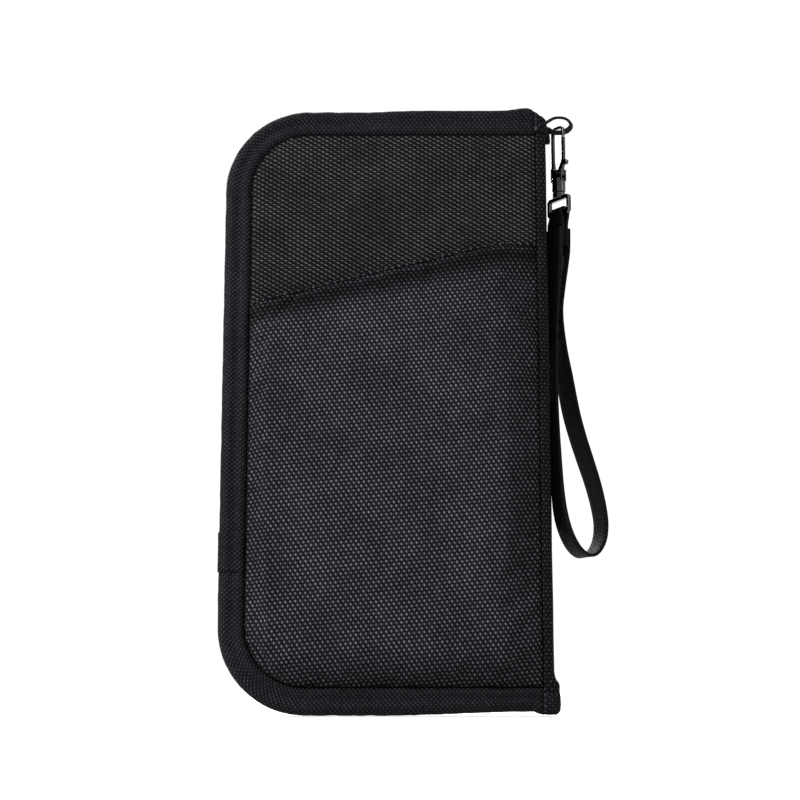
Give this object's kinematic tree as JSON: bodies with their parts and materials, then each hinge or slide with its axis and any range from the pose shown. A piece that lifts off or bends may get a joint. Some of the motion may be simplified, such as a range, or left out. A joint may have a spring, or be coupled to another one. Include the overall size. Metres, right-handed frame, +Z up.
{
  "type": "travel document organizer",
  "caption": "Zip-around fabric travel wallet with padded covers, a slanted front phone pocket, inner pockets and a clip-on wrist strap on a swivel clasp.",
  "frame": {"origin": "under the middle of the bottom edge, where the shut wallet stands, measured without the hanging strap and its clasp", "axes": "+Z up along the spine, +X towards the spine and strap, -Y out of the slanted front pocket, +Y out of the plain back cover"},
  "size_m": [0.1495, 0.0315, 0.235],
  "materials": {
    "ballistic_nylon": "coarse basket-weave nylon with grey highlights",
    "edge_nylon": "fine plain-weave nylon",
    "lining_cloth": "smooth polyester lining",
    "foam_board": "light foam board, hidden between the cloths",
    "zip_tape": "fine ribbed tape",
    "zip_coil": "satin nylon coil",
    "black_metal": "satin black enamel",
    "gunmetal": "polished gunmetal plating",
    "webbing": "ribbed polyester webbing",
    "elastic": "knitted elastic"
  },
  "bodies": {
    "back_cover": {"back_panel": "ballistic_nylon", "back_board": "foam_board", "back_edge_strip": "edge_nylon", "back_lining": "lining_cloth", "back_zip_tape": "zip_tape", "back_zip_coil": "zip_coil", "back_zip_stop": "black_metal", "ticket_pocket": "lining_cloth", "passport_pocket": "lining_cloth", "pen_loop": "elastic"},
    "spine": {"spine_panel": "edge_nylon", "spine_lining": "lining_cloth", "zip_end_top": "edge_nylon", "zip_end_bottom": "edge_nylon", "hang_loop": "edge_nylon"},
    "front_cover": {"front_panel": "ballistic_nylon", "front_board": "foam_board", "front_edge_strip": "edge_nylon", "front_lining": "lining_cloth", "front_zip_tape": "zip_tape", "front_zip_coil": "zip_coil", "front_zip_stop": "black_metal", "slash_pocket": "ballistic_nylon", "card_slot_1": "lining_cloth", "card_slot_2": "lining_cloth", "card_slot_3": "lining_cloth", "card_slot_4": "lining_cloth", "coin_pocket": "lining_cloth", "coin_zip_tape_upper": "zip_tape", "coin_zip_tape_lower": "zip_tape", "coin_zip_coil_upper": "zip_coil", "coin_zip_coil_lower": "zip_coil"},
    "zip_slider": {"zip_slider": "black_metal"},
    "zip_pull": {"zip_pull": "black_metal"},
    "coin_slider": {"coin_zip_slider": "black_metal"},
    "coin_pull": {"coin_zip_pull": "black_metal"},
    "clasp": {"clasp_body": "gunmetal", "gate_rivet": "gunmetal", "gate_spring": "gunmetal"},
    "clasp_gate": {"clasp_gate": "gunmetal"},
    "swivel": {"swivel_ring": "gunmetal"},
    "strap": {"strap_tab": "webbing", "wrist_strap": "webbing"}
  },
  "joints": [
    {"name": "back_fold", "type": "hinge", "parent": "back_cover", "child": "spine", "pos_m": [0.061, 0.01305, 0.1175], "axis": [0, 0, 1], "range_deg": [0, 90]},
    {"name": "front_fold", "type": "hinge", "parent": "spine", "child": "front_cover", "pos_m": [0.061, -0.00775, 0.1175], "axis": [0, 0, 1], "range_deg": [0, 90]},
    {"name": "zip_travel", "type": "slide", "parent": "back_cover", "child": "zip_slider", "axis": [-1, 0, 0], "range_m": [0, 0.074]},
    {"name": "zip_pull_swing", "type": "hinge", "parent": "zip_slider", "child": "zip_pull", "pos_m": [0.0435, 0.00265, 0.23315], "axis": [0, 1, 0], "range_deg": [0, 140]},
    {"name": "coin_zip_travel", "type": "slide", "parent": "front_cover", "child": "coin_slider", "axis": [-1, 0, 0], "range_m": [0, 0.07]},
    {"name": "coin_pull_swing", "type": "hinge", "parent": "coin_slider", "child": "coin_pull", "pos_m": [0.0364, 0.0007, 0.19], "axis": [0, 0, -1], "range_deg": [0, 45]},
    {"name": "clasp_swing", "type": "hinge", "parent": "spine", "child": "clasp", "pos_m": [0.0678, 0.00265, 0.2293], "axis": [1, 0, 0], "range_deg": [-75, 75]},
    {"name": "gate_press", "type": "hinge", "parent": "clasp", "child": "clasp_gate", "pos_m": [0.06857, 0.00173, 0.2119], "axis": [-0.766, -0.6428, 0], "range_deg": [0, 14], "stiffness_Nm_per_rad": 0.002, "springref_deg": -20.05},
    {"name": "swivel_turn", "type": "hinge", "parent": "clasp", "child": "swivel", "pos_m": [0.0678, 0.00265, 0.2028], "axis": [0, 0, 1], "range_deg": [-12, 10]},
    {"name": "strap_swing", "type": "hinge", "parent": "swivel", "child": "strap", "pos_m": [0.0678, 0.00265, 0.1954], "axis": [0.5592, -0.829, 0], "range_deg": [0, 75]}
  ]
}
